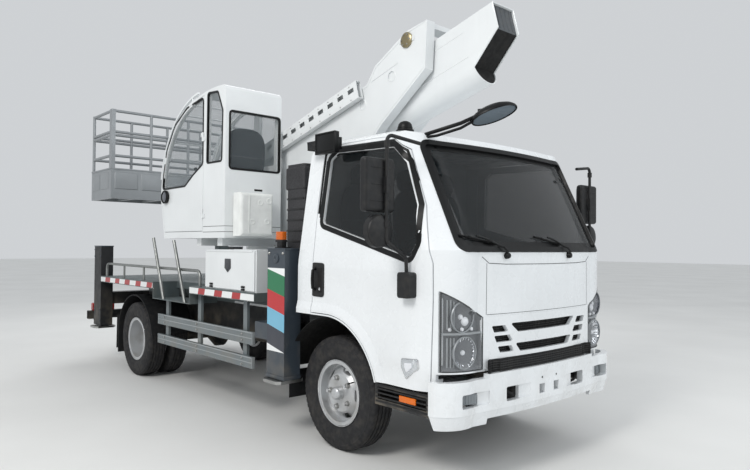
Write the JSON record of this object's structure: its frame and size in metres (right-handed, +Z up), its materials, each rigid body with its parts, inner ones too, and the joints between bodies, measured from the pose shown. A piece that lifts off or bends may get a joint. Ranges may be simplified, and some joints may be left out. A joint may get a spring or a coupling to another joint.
{
  "type": "cherry picker truck",
  "caption": "Cab-over light truck with a flat deck, stabiliser legs and a turntable carrying an operator cab and a telescopic boom with a levelled, swinging work basket.",
  "frame": {"origin": "on the ground at the centre of the truck's footprint, straight under the turntable's axis", "axes": "+X to the front of the truck, +Y to its left side, +Z up"},
  "size_m": [5.99, 2.514, 3.0671],
  "materials": {
    "cab_paint": "white gloss paint",
    "lift_paint": "off-white paint, worn",
    "frame_paint": "black chassis paint",
    "deck_paint": "grey-green deck paint",
    "grey_paint": "slate grey paint",
    "silver_paint": "silver-grey paint",
    "galvanised": "galvanised tube",
    "steel": "bare steel",
    "chromed": "hard chromed rod",
    "cast": "cast metal",
    "tyre": "black rubber",
    "black_plastic": "black moulded plastic",
    "white_plastic": "translucent white tank",
    "trim": "grey trim",
    "cloth": "dark seat cloth",
    "glass": "clear glass",
    "lamp": "clear lamp lens",
    "red_lamp": "red lens"
  },
  "bodies": {
    "truck": {"chassis_frame": "frame_paint", "front_axle": "frame_paint", "rear_axle": "frame_paint", "engine": "cast", "fuel_tank": "frame_paint", "cab_shell": "cab_paint", "cab_glass": "glass", "grille_panel": "cab_paint", "front_bumper": "cab_paint", "headlamps": "lamp", "front_mirror": "black_plastic", "seats": "cloth", "dashboard": "trim", "deck": "deck_paint", "side_guards": "grey_paint", "rear_fenders": "black_plastic", "toolbox": "lift_paint", "hand_rails": "galvanised", "tail_lamps": "red_lamp", "outrigger_housings": "frame_paint", "slew_pedestal": "lift_paint"},
    "door_left": {"door_left": "cab_paint", "door_glass_left": "glass", "mirror_left": "black_plastic"},
    "door_right": {"door_right": "cab_paint", "door_glass_right": "glass", "mirror_right": "black_plastic"},
    "knuckle_left": {"knuckle_left": "cast"},
    "knuckle_right": {"knuckle_right": "cast"},
    "tie_rod": {"tie_rod": "steel"},
    "steering_wheel": {"steering_wheel": "black_plastic"},
    "wheel_front_left": {"tyre_front_left": "tyre", "rim_front_left": "silver_paint"},
    "wheel_front_right": {"tyre_front_right": "tyre", "rim_front_right": "silver_paint"},
    "wheels_rear_left": {"tyres_rear_left": "tyre", "rims_rear_left": "silver_paint"},
    "wheels_rear_right": {"tyres_rear_right": "tyre", "rims_rear_right": "silver_paint"},
    "toolbox_door": {"toolbox_door": "lift_paint"},
    "beam_left": {"beam_left": "lift_paint"},
    "beam_right": {"beam_right": "lift_paint"},
    "leg_front_left": {"leg_front_left": "steel"},
    "leg_front_right": {"leg_front_right": "steel"},
    "leg_rear_left": {"leg_rear_left": "steel"},
    "leg_rear_right": {"leg_rear_right": "steel"},
    "turntable": {"tower": "lift_paint", "operator_cab": "lift_paint", "operator_glass": "glass", "operator_seat": "cloth", "water_tank": "white_plastic"},
    "operator_door": {"operator_door": "lift_paint", "operator_door_glass": "glass"},
    "boom_base": {"boom_base": "lift_paint"},
    "boom_mid": {"boom_mid": "lift_paint"},
    "boom_tip": {"boom_tip": "lift_paint"},
    "basket_mount": {"basket_mount": "lift_paint"},
    "basket": {"basket": "silver_paint"},
    "lift_barrel": {"lift_barrel": "lift_paint"},
    "lift_rod": {"lift_rod": "chromed"}
  },
  "joints": [
    {"name": "steer_left", "type": "hinge", "parent": "truck", "child": "knuckle_left", "pos_m": [1.865, 0.64, 0.3875], "axis": [0, 0, 1], "range_deg": [-32, 32]},
    {"name": "steer_right", "type": "hinge", "parent": "truck", "child": "knuckle_right", "pos_m": [1.865, -0.64, 0.3875], "axis": [0, 0, 1], "range_deg": [-32, 32]},
    {"name": "tie_rod_shift", "type": "slide", "parent": "truck", "child": "tie_rod", "axis": [0, 1, 0], "range_m": [-0.0858, 0.0858]},
    {"name": "steering_wheel_turn", "type": "hinge", "parent": "truck", "child": "steering_wheel", "pos_m": [2.33, -0.4, 1.45], "axis": [-0.5, 0, 0.866], "range_deg": [-520, 520]},
    {"name": "wheel_front_left_spin", "type": "hinge", "parent": "knuckle_left", "child": "wheel_front_left", "pos_m": [1.865, 0.752, 0.3875], "axis": [0, 1, 0], "continuous": true},
    {"name": "wheels_rear_left_spin", "type": "hinge", "parent": "truck", "child": "wheels_rear_left", "pos_m": [-1.495, 0.702, 0.3875], "axis": [0, 1, 0], "continuous": true},
    {"name": "wheel_front_right_spin", "type": "hinge", "parent": "knuckle_right", "child": "wheel_front_right", "pos_m": [1.865, -0.752, 0.3875], "axis": [0, 1, 0], "continuous": true},
    {"name": "wheels_rear_right_spin", "type": "hinge", "parent": "truck", "child": "wheels_rear_right", "pos_m": [-1.495, -0.702, 0.3875], "axis": [0, 1, 0], "continuous": true},
    {"name": "door_left_hinge", "type": "hinge", "parent": "truck", "child": "door_left", "pos_m": [2.789, 0.938, 1.2], "axis": [0, 0, -1], "range_deg": [0, 70]},
    {"name": "door_right_hinge", "type": "hinge", "parent": "truck", "child": "door_right", "pos_m": [2.789, -0.938, 1.2], "axis": [0, 0, 1], "range_deg": [0, 70]},
    {"name": "toolbox_door_hinge", "type": "hinge", "parent": "truck", "child": "toolbox_door", "pos_m": [0.535, -0.9443, 1.345], "axis": [-1, 0, 0], "range_deg": [0, 100]},
    {"name": "beam_left_slide", "type": "slide", "parent": "truck", "child": "beam_left", "axis": [0, 1, 0], "range_m": [0, 0.55]},
    {"name": "beam_right_slide", "type": "slide", "parent": "truck", "child": "beam_right", "axis": [0, -1, 0], "range_m": [0, 0.55]},
    {"name": "leg_front_left_slide", "type": "slide", "parent": "beam_left", "child": "leg_front_left", "axis": [0, 0, -1], "range_m": [0, 0.39]},
    {"name": "leg_front_right_slide", "type": "slide", "parent": "beam_right", "child": "leg_front_right", "axis": [0, 0, -1], "range_m": [0, 0.39]},
    {"name": "leg_rear_left_slide", "type": "slide", "parent": "truck", "child": "leg_rear_left", "axis": [0, 0, -1], "range_m": [0, 0.39]},
    {"name": "leg_rear_right_slide", "type": "slide", "parent": "truck", "child": "leg_rear_right", "axis": [0, 0, -1], "range_m": [0, 0.39]},
    {"name": "slew", "type": "hinge", "parent": "truck", "child": "turntable", "pos_m": [0, 0, 1.35], "axis": [0, 0, 1], "range_deg": [-130, 130]},
    {"name": "operator_door_hinge", "type": "hinge", "parent": "turntable", "child": "operator_door", "pos_m": [-0.067, -0.889, 2], "axis": [0, 0, 1], "range_deg": [0, 80]},
    {"name": "boom_lift", "type": "hinge", "parent": "turntable", "child": "boom_base", "pos_m": [1.894, 0, 2.95], "axis": [0, 1, 0], "range_deg": [0, 90]},
    {"name": "boom_mid_slide", "type": "slide", "parent": "boom_base", "child": "boom_mid", "axis": [-0.9659, 0, -0.2588], "range_m": [0, 2.6]},
    {"name": "boom_tip_slide", "type": "slide", "parent": "boom_mid", "child": "boom_tip", "axis": [-0.9659, 0, -0.2588], "range_m": [0, 2.6]},
    {"name": "basket_level", "type": "hinge", "parent": "boom_tip", "child": "basket_mount", "pos_m": [-1.95001, 0, 1.60942], "axis": [0, 1, 0], "range_deg": [-90, 0]},
    {"name": "basket_swing", "type": "hinge", "parent": "basket_mount", "child": "basket", "pos_m": [-2.09, 0, 1.8], "axis": [0, 0, -1], "range_deg": [-90, 90]},
    {"name": "lift_barrel_pivot", "type": "hinge", "parent": "turntable", "child": "lift_barrel", "pos_m": [1.25, 0, 2.105], "axis": [0, 1, 0], "range_deg": [0, 93.07]},
    {"name": "lift_rod_slide", "type": "slide", "parent": "lift_barrel", "child": "lift_rod", "axis": [-0.9705, 0, -0.2411], "range_m": [0, 1.5022]}
  ],
  "couplings": [
    {"joint": "steer_right", "follows": "steer_left", "ratio": 1},
    {"joint": "tie_rod_shift", "follows": "steer_left", "m_per_rad": -0.15},
    {"joint": "steering_wheel_turn", "follows": "steer_left", "ratio": 16},
    {"joint": "boom_tip_slide", "follows": "boom_mid_slide", "ratio": 1},
    {"joint": "basket_level", "follows": "boom_lift", "ratio": -1},
    {"joint": "lift_barrel_pivot", "follows": "boom_lift", "ratio": 1.0286},
    {"joint": "lift_rod_slide", "follows": "boom_lift", "m_per_rad": 0.95316}
  ]
}
